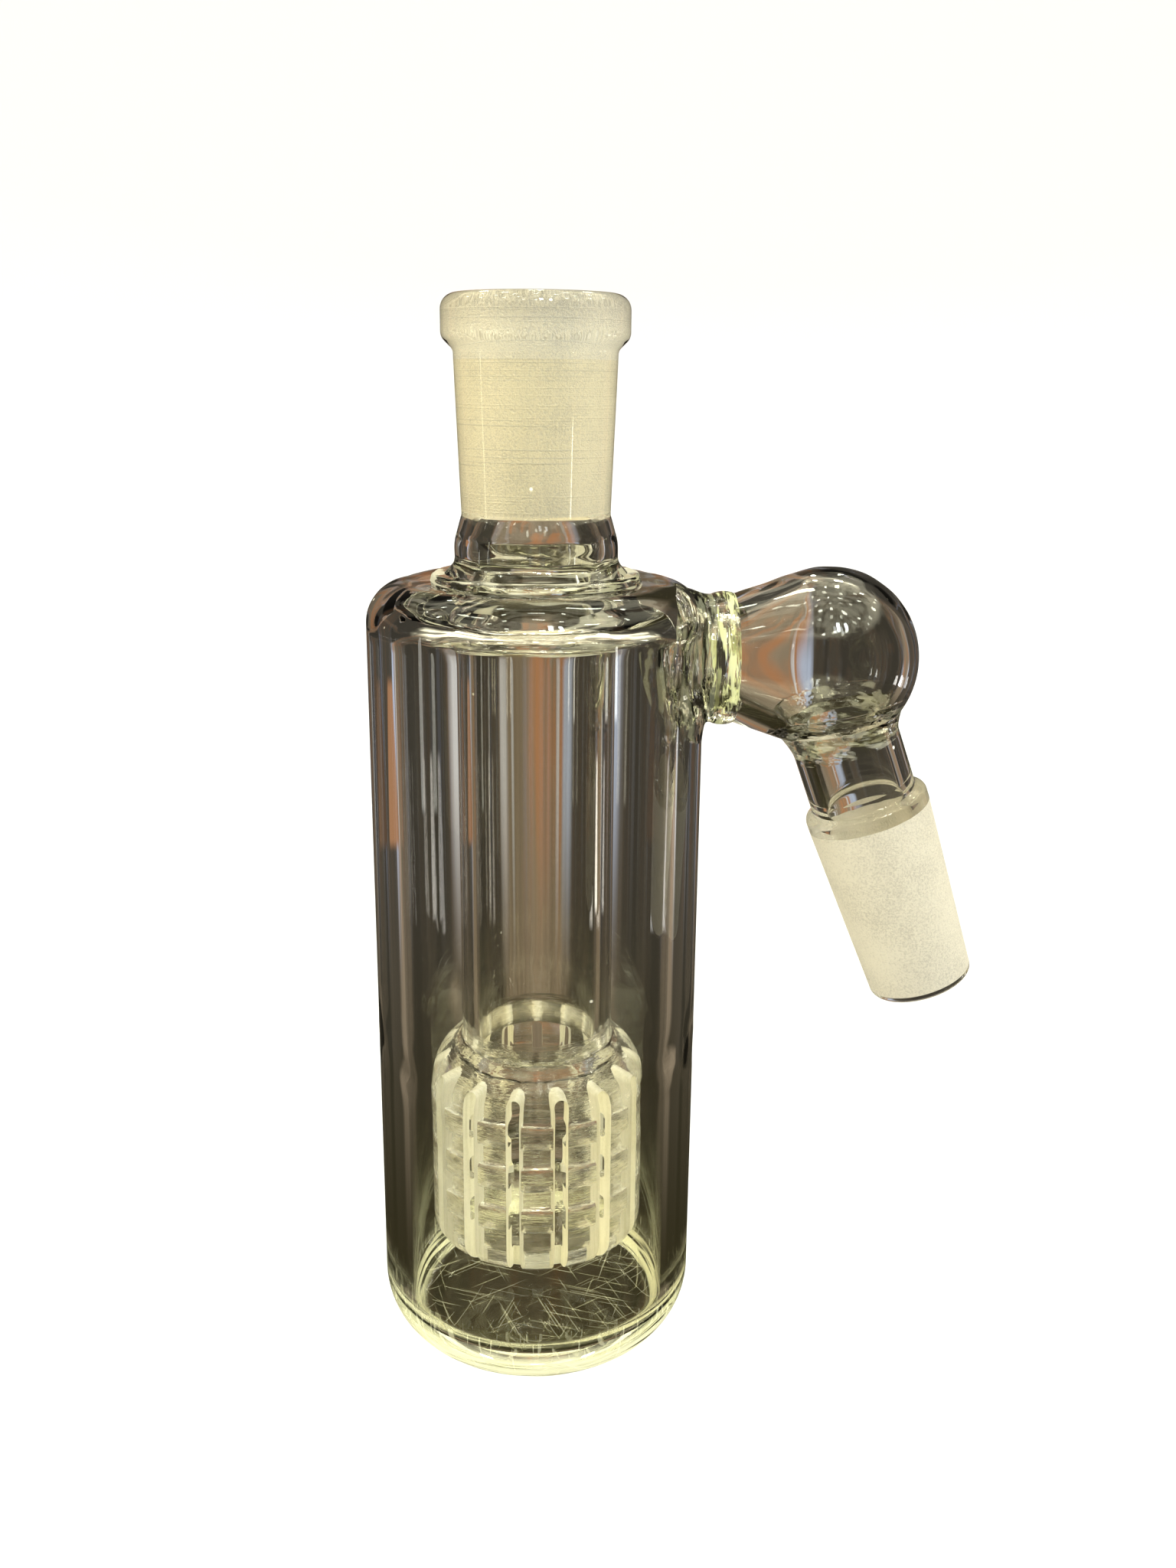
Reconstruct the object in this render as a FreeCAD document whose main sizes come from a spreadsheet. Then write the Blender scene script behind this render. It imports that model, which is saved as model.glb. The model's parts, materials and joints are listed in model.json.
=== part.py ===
"""A lampworked glass bubbler trap: a round can with a ground socket on top, a downtube that ends in
a slotted percolator, and a side arm with a bulb that ends in a ground cone.

Millimetres, +Z up. The origin is the centre of the can's flat foot, and the side arm points to +X.
"""

import FreeCAD, Part
import math
import os

import Sketcher

V = FreeCAD.Vector

# The driving dimensions. Every radius is measured from the axis of the piece it belongs to.
SIZES = {
    # can
    "can_radius": 19.0,
    "can_bore": 15.8,
    "heel_round": 8.0,
    "foot_radius": 11.0,
    "floor_height": 5.0,
    "floor_radius": 13.0,
    "floor_round": 2.8,
    "base_top": 8.4,
    "wall_top": 76.0,
    "shoulder_start": 89.2,
    "shoulder_round": 4.6,
    "shoulder_edge": 14.4,
    "shoulder_top": 93.8,
    "shoulder_lip": 93.9,
    "ceiling": 90.0,
    "ceiling_round": 2.0,
    # ring seal and neck
    "tube_radius": 9.0,
    "tube_bore": 7.2,
    "tube_top": 87.4,
    "seal_radius": 11.8,
    "seal_bead": 10.2,
    "seal_bead_height": 88.3,
    "seal_bead_round": 1.9,
    "seal_top": 94.8,
    "seal_top_radius": 10.4,
    "seal_top_round": 1.3,
    "neck_foot": 10.2,
    "neck_cove": 1.9,
    "neck_waist": 9.0,
    "neck_waist_height": 96.6,
    "neck_swell": 9.0,
    "neck_throat_height": 98.6,
    # ground socket, a 14/23 joint with a taper of 1 in 10, and its rim
    "frost_foot": 101.4,
    "frost_foot_radius": 8.24,
    "frost_foot_bore": 6.13,
    "frost_head": 117.6,
    "frost_head_radius": 8.87,
    "frost_head_bore": 6.94,
    "rim_cove": 1.4,
    "rim_cove_radius": 9.28,
    "rim_cove_height": 118.59,
    "rim_slope_radius": 9.614,
    "rim_slope_height": 118.924,
    "rim_underside_round": 2.0,
    "rim_radius": 10.2,
    "rim_side_foot": 120.338,
    "rim_round": 1.7,
    "total_height": 124.3,
    "mouth_bore": 7.25,
    "mouth_round": 0.5,
    # percolator
    "crown_top": 41.0,
    "crown_cove": 1.9,
    "crown_cove_radius": 9.75,
    "crown_cove_height": 39.28,
    "crown_round": 6.0,
    "crown_inner_round": 3.5,
    "crown_ceiling": 37.487,
    "cage_top": 36.8,
    "cage_top_radius": 12.21,
    "cage_top_bore": 9.0,
    "cage_radius": 12.9,
    "cage_bore": 10.4,
    "cage_shoulder": 34.0,
    "cage_foot": 17.0,
    "cage_heel_round": 3.7,
    "cage_underside": 13.3,
    "cage_floor": 15.9,
    "slot_count": 15,
    "slot_width": 1.5,
    "slot_top": 35.7,
    "slot_root": 9.6,
    "saw_overrun": 2.0,
    "groove_depth": 1.5,
    "groove_width": 3.0,
    "groove_first": 19.2,
    "groove_pitch": 5.4,
    "groove_count": 3,
    "groove_overlap": 1.0,
    # side arm, along +X
    "arm_height": 85.0,
    "arm_radius": 7.3,
    "arm_bore": 4.7,
    "weld_root": 12.0,
    "weld_flare": 8.6,
    "weld_flare_end": 16.5,
    "weld_cove": 5.0,
    "weld_end": 19.8,
    "collar_swell": 3.6,
    "collar_end": 22.4,
    "bulb_radius": 10.4,
    "bulb_inner": 8.8,
    "bulb_cheek": 29.54,
    "bulb_cheek_radius": 9.77,
    "bulb_inner_cheek": 30.09,
    "bulb_inner_cheek_radius": 8.27,
    "bulb_end": 43.5,
    "bulb_inner_end": 41.9,
    # link tube and ground cone, along a tilted axis that starts inside the bulb
    "link_origin": 32.4,
    "link_tilt": 20.0,
    "link_radius": 6.2,
    "link_bore": 4.3,
    "link_root": 6.0,
    "link_flare": 7.2,
    "link_flare_end": 7.6,
    "link_cove": 4.4,
    "link_start": 10.9,
    "link_end": 16.6,
    "joint_cove": 1.2,
    "joint_cove_radius": 6.62,
    "joint_cove_end": 17.35,
    "joint_shoulder_round": 1.9,
    "joint_radius": 7.25,
    "joint_full": 18.7,
    "grind_start": 19.6,
    "joint_bore": 4.8,
    "grind_end": 41.2,
    "grind_end_radius": 6.17,
    "tip_round": 0.95,
    "tip_end": 42.12,
    "tip_lip": 5.35,
    "tip_inner_lip": 5.1,
    "tip_inner_round": 0.32,
    "tip_bore_end": 41.8,
}

doc = FreeCAD.newDocument("bubbler_trap")
sheet = doc.addObject("Spreadsheet::Sheet", "Sizes")
for row, (alias, size) in enumerate(SIZES.items(), start=1):
    sheet.set(f"A{row}", alias)
    sheet.set(f"B{row}", str(size))
    sheet.setAlias(f"B{row}", alias)
doc.recompute()


# ---- Sketch helpers --------------------------------------------------------------------------


def value(words):
    """The value of a sum such as "total_height - rim_round"."""
    total, sign = 0.0, 1
    for word in words.split():
        if word in ("+", "-"):
            sign = 1 if word == "+" else -1
        else:
            total += sign * (SIZES[word] if word in SIZES else float(word))
    return total


def formula(words):
    """The same sum as an expression on the sheet's cells."""
    return " ".join(f"Sizes.{word}" if word in SIZES else word for word in words.split())


def origin_feature(body, role):
    return next(item for item in body.Origin.OriginFeatures if item.Role == role)


def new_sketch(body, name):
    sketch = body.newObject("Sketcher::SketchObject", name)
    sketch.AttachmentSupport = [(origin_feature(body, "XZ_Plane"), "")]
    sketch.MapMode = "FlatFace"
    return sketch


def arc_edge(start, end, radius, turn):
    """The short arc from start to end. A turn of 1 runs counterclockwise and -1 clockwise."""
    chord = end - start
    side = V(-chord.y, chord.x, 0).normalize() * turn
    centre = (start + end) / 2 + side * math.sqrt(radius**2 - (chord.Length / 2) ** 2)
    first, last = (start, end) if turn > 0 else (end, start)
    angles = [math.atan2(p.y - centre.y, p.x - centre.x) for p in (first, last)]
    if angles[1] < angles[0]:
        angles[1] += 2 * math.pi
    return Part.ArcOfCircle(Part.Circle(centre, V(0, 0, 1), radius), *angles)


def place_point(sketch, point, corner, pole):
    """Dimensions one point of the sketch from the origin by two sums of the sheet's cells. A pole is
    only held to the axis, because its arc sets its height."""
    for kind, words, axis in (("DistanceX", corner[0], -2), ("DistanceY", corner[1], -1)):
        if pole and kind == "DistanceY":
            continue
        size = value(words)
        if size == 0:
            sketch.addConstraint(Sketcher.Constraint("PointOnObject", *point, axis))
        else:
            index = sketch.addConstraint(Sketcher.Constraint(kind, -1, 1, *point, size))
            sketch.setExpression(f"Constraints[{index}]", formula(words))


def draw_outline(sketch, outline):
    """Draws a closed outline. A corner is (across, up), and (across, up, radius, turn) starts an arc
    that runs to the next corner."""
    points = [V(value(corner[0]), value(corner[1]), 0) for corner in outline]
    heads, tails = [], []
    for i, corner in enumerate(outline):
        start, end = points[i], points[(i + 1) % len(points)]
        if len(corner) == 2:
            sketch.addGeometry(Part.LineSegment(start, end), False)
            forward = True
        else:
            sketch.addGeometry(arc_edge(start, end, value(corner[2]), corner[3]), False)
            forward = corner[3] > 0
        heads.append((i, 1 if forward else 2))
        tails.append((i, 2 if forward else 1))
    for i, tail in enumerate(tails):
        sketch.addConstraint(Sketcher.Constraint("Coincident", *tail, *heads[(i + 1) % len(heads)]))
    arcs = [i for i, corner in enumerate(outline) if len(corner) > 2]
    poles = {j for i in arcs for j in (i, (i + 1) % len(outline)) if outline[j][0] == "0"}
    for i, (head, corner) in enumerate(zip(heads, outline)):
        place_point(sketch, head, corner, i in poles)
    for i in arcs:
        if poles & {i, (i + 1) % len(outline)}:
            sketch.addConstraint(Sketcher.Constraint("PointOnObject", i, 3, -2))
        index = sketch.addConstraint(Sketcher.Constraint("Radius", i, value(outline[i][2])))
        sketch.setExpression(f"Constraints[{index}]", formula(outline[i][2]))


def lathe(label, outline):
    """A body turned about its own Z axis from an outline in its XZ plane."""
    body = doc.addObject("PartDesign::Body", label)
    body.Label = label
    sketch = new_sketch(body, f"{label}_outline")
    draw_outline(sketch, outline)
    turned = body.newObject("PartDesign::Revolution", f"{label}_turned")
    turned.Profile = sketch
    turned.ReferenceAxis = (sketch, ["V_Axis"])
    turned.Angle = 360
    body.Tip = turned
    doc.recompute()
    return body


# ---- Cutting helpers -------------------------------------------------------------------------


def saw_slots(body, foot, root):
    """Vertical saw cuts round the axis, from the root radius outward and open at the bottom."""
    before = body.Shape.Volume
    sketch = new_sketch(body, f"{body.Label}_slot")
    width = value("slot_width") / 2
    low, high = value(f"{foot} - saw_overrun"), value("slot_top")
    sketch.addGeometry(Part.LineSegment(V(-width, high, 0), V(-width, low, 0)), False)
    sketch.addGeometry(Part.LineSegment(V(-width, low, 0), V(width, low, 0)), False)
    sketch.addGeometry(Part.LineSegment(V(width, low, 0), V(width, high, 0)), False)
    round_end = Part.Circle(V(0, high, 0), V(0, 0, 1), width)
    sketch.addGeometry(Part.ArcOfCircle(round_end, 0, math.pi), False)
    for first, second in ((0, 1), (1, 2)):
        sketch.addConstraint(Sketcher.Constraint("Coincident", first, 2, second, 1))
    sketch.addConstraint(Sketcher.Constraint("Tangent", 2, 2, 3, 1))
    sketch.addConstraint(Sketcher.Constraint("Tangent", 3, 2, 0, 1))
    sketch.addConstraint(Sketcher.Constraint("Vertical", 0))
    sketch.addConstraint(Sketcher.Constraint("Horizontal", 1))
    sketch.addConstraint(Sketcher.Constraint("PointOnObject", 3, 3, -2))
    bound = (
        ("DistanceX", (1, 1, 1, 2), 2 * width, "Sizes.slot_width"),
        ("DistanceY", (-1, 1, 3, 3), high, "Sizes.slot_top"),
        ("DistanceY", (-1, 1, 1, 1), low, formula(f"{foot} - saw_overrun")),
    )
    for kind, ends, size, words in bound:
        index = sketch.addConstraint(Sketcher.Constraint(kind, *ends, size))
        sketch.setExpression(f"Constraints[{index}]", words)
    sketch.setExpression("AttachmentOffset.Base.z", f"-{root}")
    pocket = body.newObject("PartDesign::Pocket", f"{body.Label}_saw_cut")
    pocket.Profile = sketch
    pocket.Type = "ThroughAll"
    pattern = body.newObject("PartDesign::PolarPattern", f"{body.Label}_saw_cuts")
    pattern.Originals = [pocket]
    pattern.Axis = (origin_feature(body, "Z_Axis"), [""])
    pattern.Angle = 360
    pattern.setExpression("Occurrences", "Sizes.slot_count")
    body.Tip = pattern
    doc.recompute()
    assert body.Shape.Volume < before - 1, f"{body.Label}: the slots cut nothing"


def turn_groove(body, count):
    """One more groove round the bore, count pitches above the first."""
    before = body.Shape.Volume
    foot = f"groove_first{' + groove_pitch' * count}"
    root = "cage_bore + groove_depth"
    sketch = new_sketch(body, f"{body.Label}_groove_{count}")
    draw_outline(sketch, [
        ("cage_bore - groove_overlap", foot),
        (root, foot),
        (root, f"{foot} + groove_width"),
        ("cage_bore - groove_overlap", f"{foot} + groove_width"),
    ])
    groove = body.newObject("PartDesign::Groove", f"{body.Label}_groove_cut_{count}")
    groove.Profile = sketch
    groove.ReferenceAxis = (sketch, ["V_Axis"])
    groove.Angle = 360
    body.Tip = groove
    doc.recompute()
    assert body.Shape.Volume < before - 1, f"{body.Label}: groove {count} cut nothing"


def bore_tool(name, radius, length):
    tool = doc.addObject("Part::Cylinder", name)
    tool.setExpression("Radius", f"Sizes.{radius}")
    tool.setExpression("Height", f"Sizes.{length}")
    return tool


def cut(label, base, tool):
    result = doc.addObject("Part::Cut", label)
    result.Label = label
    result.Base = base
    result.Tool = tool
    doc.recompute()
    return result


def put_on_arm(item):
    """Local Z runs along +X at the side arm's height."""
    item.Placement = FreeCAD.Placement(V(0, 0, 0), FreeCAD.Rotation(V(0, 1, 0), 90))
    item.setExpression("Placement.Base.z", "Sizes.arm_height")
    return item


def put_on_link(item):
    """Local Z runs down the link tube's tilted axis to the ground cone's tip."""
    turn = FreeCAD.Rotation(V(0, 1, 0), 180 - SIZES["link_tilt"])
    item.Placement = FreeCAD.Placement(V(0, 0, 0), turn)
    item.setExpression("Placement.Base.x", "Sizes.link_origin")
    item.setExpression("Placement.Base.z", "Sizes.arm_height")
    return item


# ---- Socket, neck and can --------------------------------------------------------------------


def make_socket():
    rim = lathe("socket_rim", [
        ("frost_head_bore", "frost_head"),
        ("frost_head_radius", "frost_head", "rim_cove", -1),
        ("rim_cove_radius", "rim_cove_height"),
        ("rim_slope_radius", "rim_slope_height", "rim_underside_round", 1),
        ("rim_radius", "rim_side_foot"),
        ("rim_radius", "total_height - rim_round", "rim_round", 1),
        ("rim_radius - rim_round", "total_height"),
        ("mouth_bore + mouth_round", "total_height", "mouth_round", 1),
        ("mouth_bore", "total_height - mouth_round"),
    ])
    barrel = lathe("ground_socket", [
        ("frost_foot_bore", "frost_foot"),
        ("frost_foot_radius", "frost_foot"),
        ("frost_head_radius", "frost_head"),
        ("frost_head_bore", "frost_head"),
    ])
    neck = lathe("neck", [
        ("tube_bore", "seal_top"),
        ("neck_foot", "seal_top", "neck_cove", -1),
        ("neck_waist", "neck_waist_height", "neck_swell", 1),
        ("frost_foot_radius", "frost_foot"),
        ("frost_foot_bore", "frost_foot"),
        ("tube_bore", "neck_throat_height"),
    ])
    return [rim, barrel, neck]


def make_can():
    seal = lathe("neck_seal", [
        ("tube_bore", "tube_top"),
        ("tube_radius", "tube_top", "seal_bead_round", -1),
        ("seal_bead", "seal_bead_height", "seal_bead_round", 1),
        ("seal_radius", "ceiling"),
        ("seal_radius", "shoulder_lip", "seal_top_round", 1),
        ("seal_top_radius", "seal_top"),
        ("tube_bore", "seal_top"),
    ])
    outer = [
        ("can_radius", "wall_top"),
        ("can_radius", "shoulder_start", "shoulder_round", 1),
        ("shoulder_edge", "shoulder_top"),
        ("seal_radius", "shoulder_lip"),
    ]
    dome = lathe("shoulder_blank", [("can_bore", "wall_top")] + outer + [
        ("seal_radius", "ceiling"),
        ("can_bore - ceiling_round", "ceiling", "ceiling_round", -1),
        ("can_bore", "ceiling - ceiling_round"),
    ])
    hole = put_on_arm(bore_tool("arm_hole", "arm_bore", "can_radius"))
    shoulder = cut("can_shoulder", dome, hole)
    wall = lathe("can_wall", [
        ("can_bore", "base_top"),
        ("can_radius", "base_top"),
        ("can_radius", "wall_top"),
        ("can_bore", "wall_top"),
    ])
    base = lathe("can_base", [
        ("0", "0"),
        ("foot_radius", "0", "heel_round", 1),
        ("can_radius", "heel_round"),
        ("can_radius", "base_top"),
        ("can_bore", "base_top"),
        ("can_bore", "floor_height + floor_round", "floor_round", -1),
        ("floor_radius", "floor_height"),
        ("0", "floor_height"),
    ])
    envelope = lathe("can_envelope", [("0", "wall_top")] + outer + [("0", "shoulder_lip")])
    return [seal, shoulder, wall, base], envelope


# ---- Downtube and percolator -----------------------------------------------------------------


def make_percolator():
    downtube = lathe("downtube", [
        ("tube_bore", "crown_top"),
        ("tube_radius", "crown_top"),
        ("tube_radius", "tube_top"),
        ("tube_bore", "tube_top"),
    ])
    dome = lathe("perc_dome", [
        ("cage_top_bore", "cage_top"),
        ("cage_top_radius", "cage_top", "crown_round", 1),
        ("crown_cove_radius", "crown_cove_height", "crown_cove", -1),
        ("tube_radius", "crown_top"),
        ("tube_bore", "crown_top"),
        ("tube_bore", "crown_ceiling", "crown_inner_round", -1),
    ])
    cage = lathe("perc_cage", [
        ("cage_bore", "cage_foot"),
        ("cage_radius", "cage_foot"),
        ("cage_radius", "cage_shoulder", "crown_round", 1),
        ("cage_top_radius", "cage_top"),
        ("cage_top_bore", "cage_top", "crown_inner_round", -1),
        ("cage_bore", "cage_shoulder"),
    ])
    for count in range(SIZES["groove_count"]):
        turn_groove(cage, count)
    saw_slots(cage, "cage_foot", "0 mm")
    floor = lathe("perc_floor", [
        ("0", "cage_underside"),
        ("cage_radius - cage_heel_round", "cage_underside", "cage_heel_round", 1),
        ("cage_radius", "cage_foot"),
        ("cage_bore", "cage_foot"),
        ("cage_bore", "cage_floor"),
        ("0", "cage_floor"),
    ])
    saw_slots(floor, "cage_underside", "Sizes.slot_root")
    return [downtube, dome, cage, floor]


# ---- Side arm --------------------------------------------------------------------------------


def make_arm(envelope):
    flare = put_on_arm(lathe("weld_blank", [
        ("arm_bore", "weld_root"),
        ("weld_flare", "weld_root"),
        ("weld_flare", "weld_flare_end", "weld_cove", -1),
        ("arm_radius", "weld_end"),
        ("arm_bore", "weld_end"),
    ]))
    weld = cut("arm_weld", flare, envelope)
    collar = put_on_arm(lathe("arm_collar", [
        ("arm_bore", "weld_end"),
        ("arm_radius", "weld_end", "collar_swell", 1),
        ("arm_radius", "collar_end"),
        ("arm_bore", "collar_end"),
    ]))
    blown = [
        ("arm_radius", "collar_end"),
        ("bulb_cheek_radius", "bulb_cheek", "bulb_radius", 1),
        ("0", "bulb_end"),
    ]
    blank = put_on_arm(lathe("bulb_blank", [("arm_bore", "collar_end")] + blown + [
        ("0", "bulb_inner_end", "bulb_inner", -1),
        ("bulb_inner_cheek_radius", "bulb_inner_cheek"),
    ]))
    bulb = cut("bulb", blank, put_on_link(bore_tool("link_hole", "link_bore", "link_end")))
    mould = put_on_arm(lathe("bulb_envelope", [("0", "collar_end")] + blown))
    return [weld, collar, bulb], mould


def make_cone(mould):
    foot = put_on_link(lathe("link_blank", [
        ("link_bore", "link_root"),
        ("link_flare", "link_root"),
        ("link_flare", "link_flare_end", "link_cove", -1),
        ("link_radius", "link_start"),
        ("link_bore", "link_start"),
    ]))
    weld = cut("link_weld", foot, mould)
    tube = put_on_link(lathe("link_tube", [
        ("link_bore", "link_start"),
        ("link_radius", "link_start"),
        ("link_radius", "link_end"),
        ("link_bore", "link_end"),
    ]))
    shoulder = put_on_link(lathe("joint_shoulder", [
        ("link_bore", "link_end"),
        ("link_radius", "link_end", "joint_cove", -1),
        ("joint_cove_radius", "joint_cove_end", "joint_shoulder_round", 1),
        ("joint_radius", "joint_full"),
        ("joint_radius", "grind_start"),
        ("joint_bore", "grind_start"),
    ]))
    cone = put_on_link(lathe("ground_cone", [
        ("joint_bore", "grind_start"),
        ("joint_radius", "grind_start"),
        ("grind_end_radius", "grind_end"),
        ("joint_bore", "grind_end"),
    ]))
    tip = put_on_link(lathe("joint_tip", [
        ("joint_bore", "grind_end"),
        ("grind_end_radius", "grind_end", "tip_round", 1),
        ("tip_lip", "tip_end"),
        ("tip_inner_lip", "tip_end", "tip_inner_round", 1),
        ("joint_bore", "tip_bore_end"),
    ]))
    return [weld, tube, shoulder, cone, tip]


# ---- Build, check and write ------------------------------------------------------------------


def check(pieces):
    for item in doc.Objects:
        assert not {"Invalid", "Error"} & set(item.State), f"{item.Label} failed: {item.State}"
    for piece in pieces:
        shape = piece.Shape
        sound = not shape.isNull() and shape.isValid() and len(shape.Solids) == 1
        assert sound, f"{piece.Label} is not one valid solid"


can_pieces, can_envelope = make_can()
arm_pieces, bulb_mould = make_arm(can_envelope)
pieces = make_socket() + can_pieces + make_percolator() + arm_pieces + make_cone(bulb_mould)
doc.recompute()
check(pieces)

os.makedirs("parts", exist_ok=True)
for piece in pieces:
    piece.Shape.exportStep(f"parts/{piece.Label}.step")
    box = piece.Shape.BoundBox
    print(f"{piece.Label:15} {piece.Shape.Volume:9.1f} mm3  z {box.ZMin:7.2f} to {box.ZMax:7.2f}")
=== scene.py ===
import json
from math import cos, hypot, pi, radians, sin, sqrt, tan

import bmesh
import bpy
from mathutils import Matrix, Vector, noise


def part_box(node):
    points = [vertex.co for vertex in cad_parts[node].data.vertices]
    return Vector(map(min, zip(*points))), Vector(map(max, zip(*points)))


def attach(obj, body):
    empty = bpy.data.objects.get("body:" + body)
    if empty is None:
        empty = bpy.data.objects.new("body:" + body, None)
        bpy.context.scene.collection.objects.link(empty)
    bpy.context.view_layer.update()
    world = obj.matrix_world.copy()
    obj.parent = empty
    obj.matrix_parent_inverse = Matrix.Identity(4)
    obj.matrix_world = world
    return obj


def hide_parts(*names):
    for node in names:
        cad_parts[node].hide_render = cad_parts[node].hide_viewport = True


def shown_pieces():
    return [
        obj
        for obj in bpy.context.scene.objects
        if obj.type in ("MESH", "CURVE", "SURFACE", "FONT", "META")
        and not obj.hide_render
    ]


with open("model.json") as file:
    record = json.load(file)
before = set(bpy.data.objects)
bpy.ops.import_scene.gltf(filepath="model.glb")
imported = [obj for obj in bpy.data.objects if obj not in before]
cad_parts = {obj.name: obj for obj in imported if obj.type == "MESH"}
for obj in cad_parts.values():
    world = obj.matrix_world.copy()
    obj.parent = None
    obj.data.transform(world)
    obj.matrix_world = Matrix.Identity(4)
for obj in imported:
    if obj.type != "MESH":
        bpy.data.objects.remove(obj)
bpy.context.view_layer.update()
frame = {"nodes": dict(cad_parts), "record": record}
mounts = {m["name"]: m for m in frame["record"]["mounts"]}
print("frame loaded")

# lengths are in millimetres until a mesh is made
mm = 0.001
segments = 144  # round the axis of every turned piece
ground, seam = 1, 2  # places in each piece's list of materials, after its skin

# where the turned pieces stand: local Z is the axis they are spun round
tipMount = mounts["cone_joint"]
tipAxis = Vector(tipMount["axis"]).normalized()
bulbLow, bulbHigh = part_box("bulb")
armHeight = (bulbLow.z + bulbHigh.z) / 2 / mm
linkLength = (armHeight - tipMount["pos_m"][2] / mm) / -tipAxis.z
linkStart = Vector(tipMount["pos_m"]) / mm - tipAxis * linkLength
canPlace = Matrix.Identity(4)
armPlace = Matrix.Translation((0, 0, armHeight)) @ Matrix.Rotation(pi / 2, 4, "Y")
linkPlace = Matrix.Translation(linkStart) @ Matrix.Rotation(tipAxis.angle((0, 0, 1)), 4, "Y")


def measure(node, place):
    # reach of a CAD node along and round an axis
    back = place.inverted()
    points = [back @ (v.co / mm) for v in frame["nodes"][node].data.vertices]
    across = [hypot(p.x, p.y) for p in points]
    return {
        "low": min(p.z for p in points),
        "high": max(p.z for p in points),
        "bore": min(across),
        "radius": max(across),
    }


class Wire:
    # one output socket of a material, for writing its maths as an expression
    def __init__(self, tree, socket=None):
        self.tree = tree
        self.socket = socket

    def make(self, kind, settings=None, output=0, **values):
        node = self.tree.nodes.new(kind)
        for key, setting in (settings or {}).items():
            setattr(node, key, setting)
        for key, value in values.items():
            name = key.replace("_", " ") if not key.startswith("i_") else int(key[2:])
            socket = node.inputs[name]
            if isinstance(value, Wire):
                self.tree.links.new(value.socket, socket)
            else:
                socket.default_value = value
        return Wire(self.tree, node.outputs[output])

    def sum(self, operation, a, b=0.0):
        return self.make("ShaderNodeMath", {"operation": operation}, i_0=a, i_1=b)

    def __add__(self, other):
        return self.sum("ADD", self, other)

    def __sub__(self, other):
        return self.sum("SUBTRACT", self, other)

    def __rsub__(self, other):
        return self.sum("SUBTRACT", other, self)

    def __mul__(self, other):
        return self.sum("MULTIPLY", self, other)

    def wrap(self, low, high):
        return self.make("ShaderNodeMath", {"operation": "WRAP"}, i_0=self, i_1=high, i_2=low)

    def size(self):
        return self.sum("ABSOLUTE", self)

    def parts(self):
        # the three numbers of a vector
        split = self.tree.nodes.new("ShaderNodeSeparateXYZ")
        self.tree.links.new(self.socket, split.inputs[0])
        return [Wire(self.tree, split.outputs[n]) for n in range(3)]

    def mixWith(self, colourA, colourB):
        return self.make(
            "ShaderNodeMix", {"data_type": "RGBA"}, output=2, i_0=self, i_6=colourA, i_7=colourB
        )

    def between(self, low, high):
        # 0 below low, 1 above high
        return self.make(
            "ShaderNodeMapRange", {"interpolation_type": "SMOOTHSTEP"}, i_0=self, i_1=low, i_2=high
        )


def startMaterial(name):
    material = bpy.data.materials.new(name)
    material.use_nodes = True
    tree = material.node_tree
    shader = tree.nodes["Principled BSDF"]
    coords = Wire(tree).make("ShaderNodeTexCoord", output=3)
    return material, tree, shader, coords


def stretched(coords, x, y, z):
    return coords.make("ShaderNodeMapping", Vector=coords, Scale=(x, y, z))


def grain(coords, scale, detail=2.0, rough=0.5):
    return coords.make("ShaderNodeTexNoise", Vector=coords, Scale=scale, Detail=detail, Roughness=rough)


def plug(tree, wire, shader, name):
    tree.links.new(wire.socket, shader.inputs[name])


def plugBump(tree, height, shader, strength, distance):
    bump = height.make("ShaderNodeBump", Strength=strength, Distance=distance, Height=height)
    plug(tree, bump, shader, "Normal")


glassLook = {
    "ior": 1.474,  # borosilicate
    "tint": (0.93, 0.915, 0.87, 1),
    "weldTint": (0.95, 0.96, 0.80, 1),
    "footTint": (0.94, 0.94, 0.83, 1),
    "drawLines": 0.012,
    "weldRipple": 0.22,
    # the perc's milky marks, partly a milky layer on the glass and partly painted sheen: their share and tone
    "percMilkAndSheenShare": 0.08,
    "percMilkAndSheenTone": (0.95, 0.92, 0.68, 1),
    "footScuffs": 0.22,
    # painted light in the heel: its share, and the tone shared by the scuffs and the painted band
    "footPaintedHeelLight": 0.80,
    "footScuffAndHeelLightTone": (0.92, 0.91, 0.60, 1),
    "marks": (0.95, 0.92, 0.76, 1),
}


def overlay(material, tree, shader, mask, colour):
    # scratches and specks are matt marks on the polished skin, and so are the painted highlights and painted
    # sheen where the glass catches light
    mark = tree.nodes.new("ShaderNodeBsdfPrincipled")
    mark.inputs["Base Color"].default_value = colour
    mark.inputs["Roughness"].default_value = 0.6
    both = tree.nodes.new("ShaderNodeMixShader")
    tree.links.new(mask.socket, both.inputs[0])
    tree.links.new(shader.outputs[0], both.inputs[1])
    tree.links.new(mark.outputs[0], both.inputs[2])
    tree.links.new(both.outputs[0], tree.nodes["Material Output"].inputs[0])
    return material


def startGlass(name, tint):
    material, tree, shader, coords = startMaterial(name)
    shader.inputs["Transmission Weight"].default_value = 1
    shader.inputs["IOR"].default_value = glassLook["ior"]
    shader.inputs["Roughness"].default_value = 0
    shader.inputs["Base Color"].default_value = glassLook[tint]
    return material, tree, shader, coords


def specks(coords, scale, share):
    # a few seeds and dust specks, one to a cell in some cells
    near = coords.make("ShaderNodeTexVoronoi", {"feature": "F1"}, Vector=coords, Scale=scale)
    cell = coords.make("ShaderNodeTexVoronoi", {"feature": "F1"}, 1, Vector=coords, Scale=scale)
    pick = cell.make("ShaderNodeSeparateXYZ", i_0=cell).between(1 - share, 1.02 - share)
    return (1 - near.between(0.015, 0.045)) * pick


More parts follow.
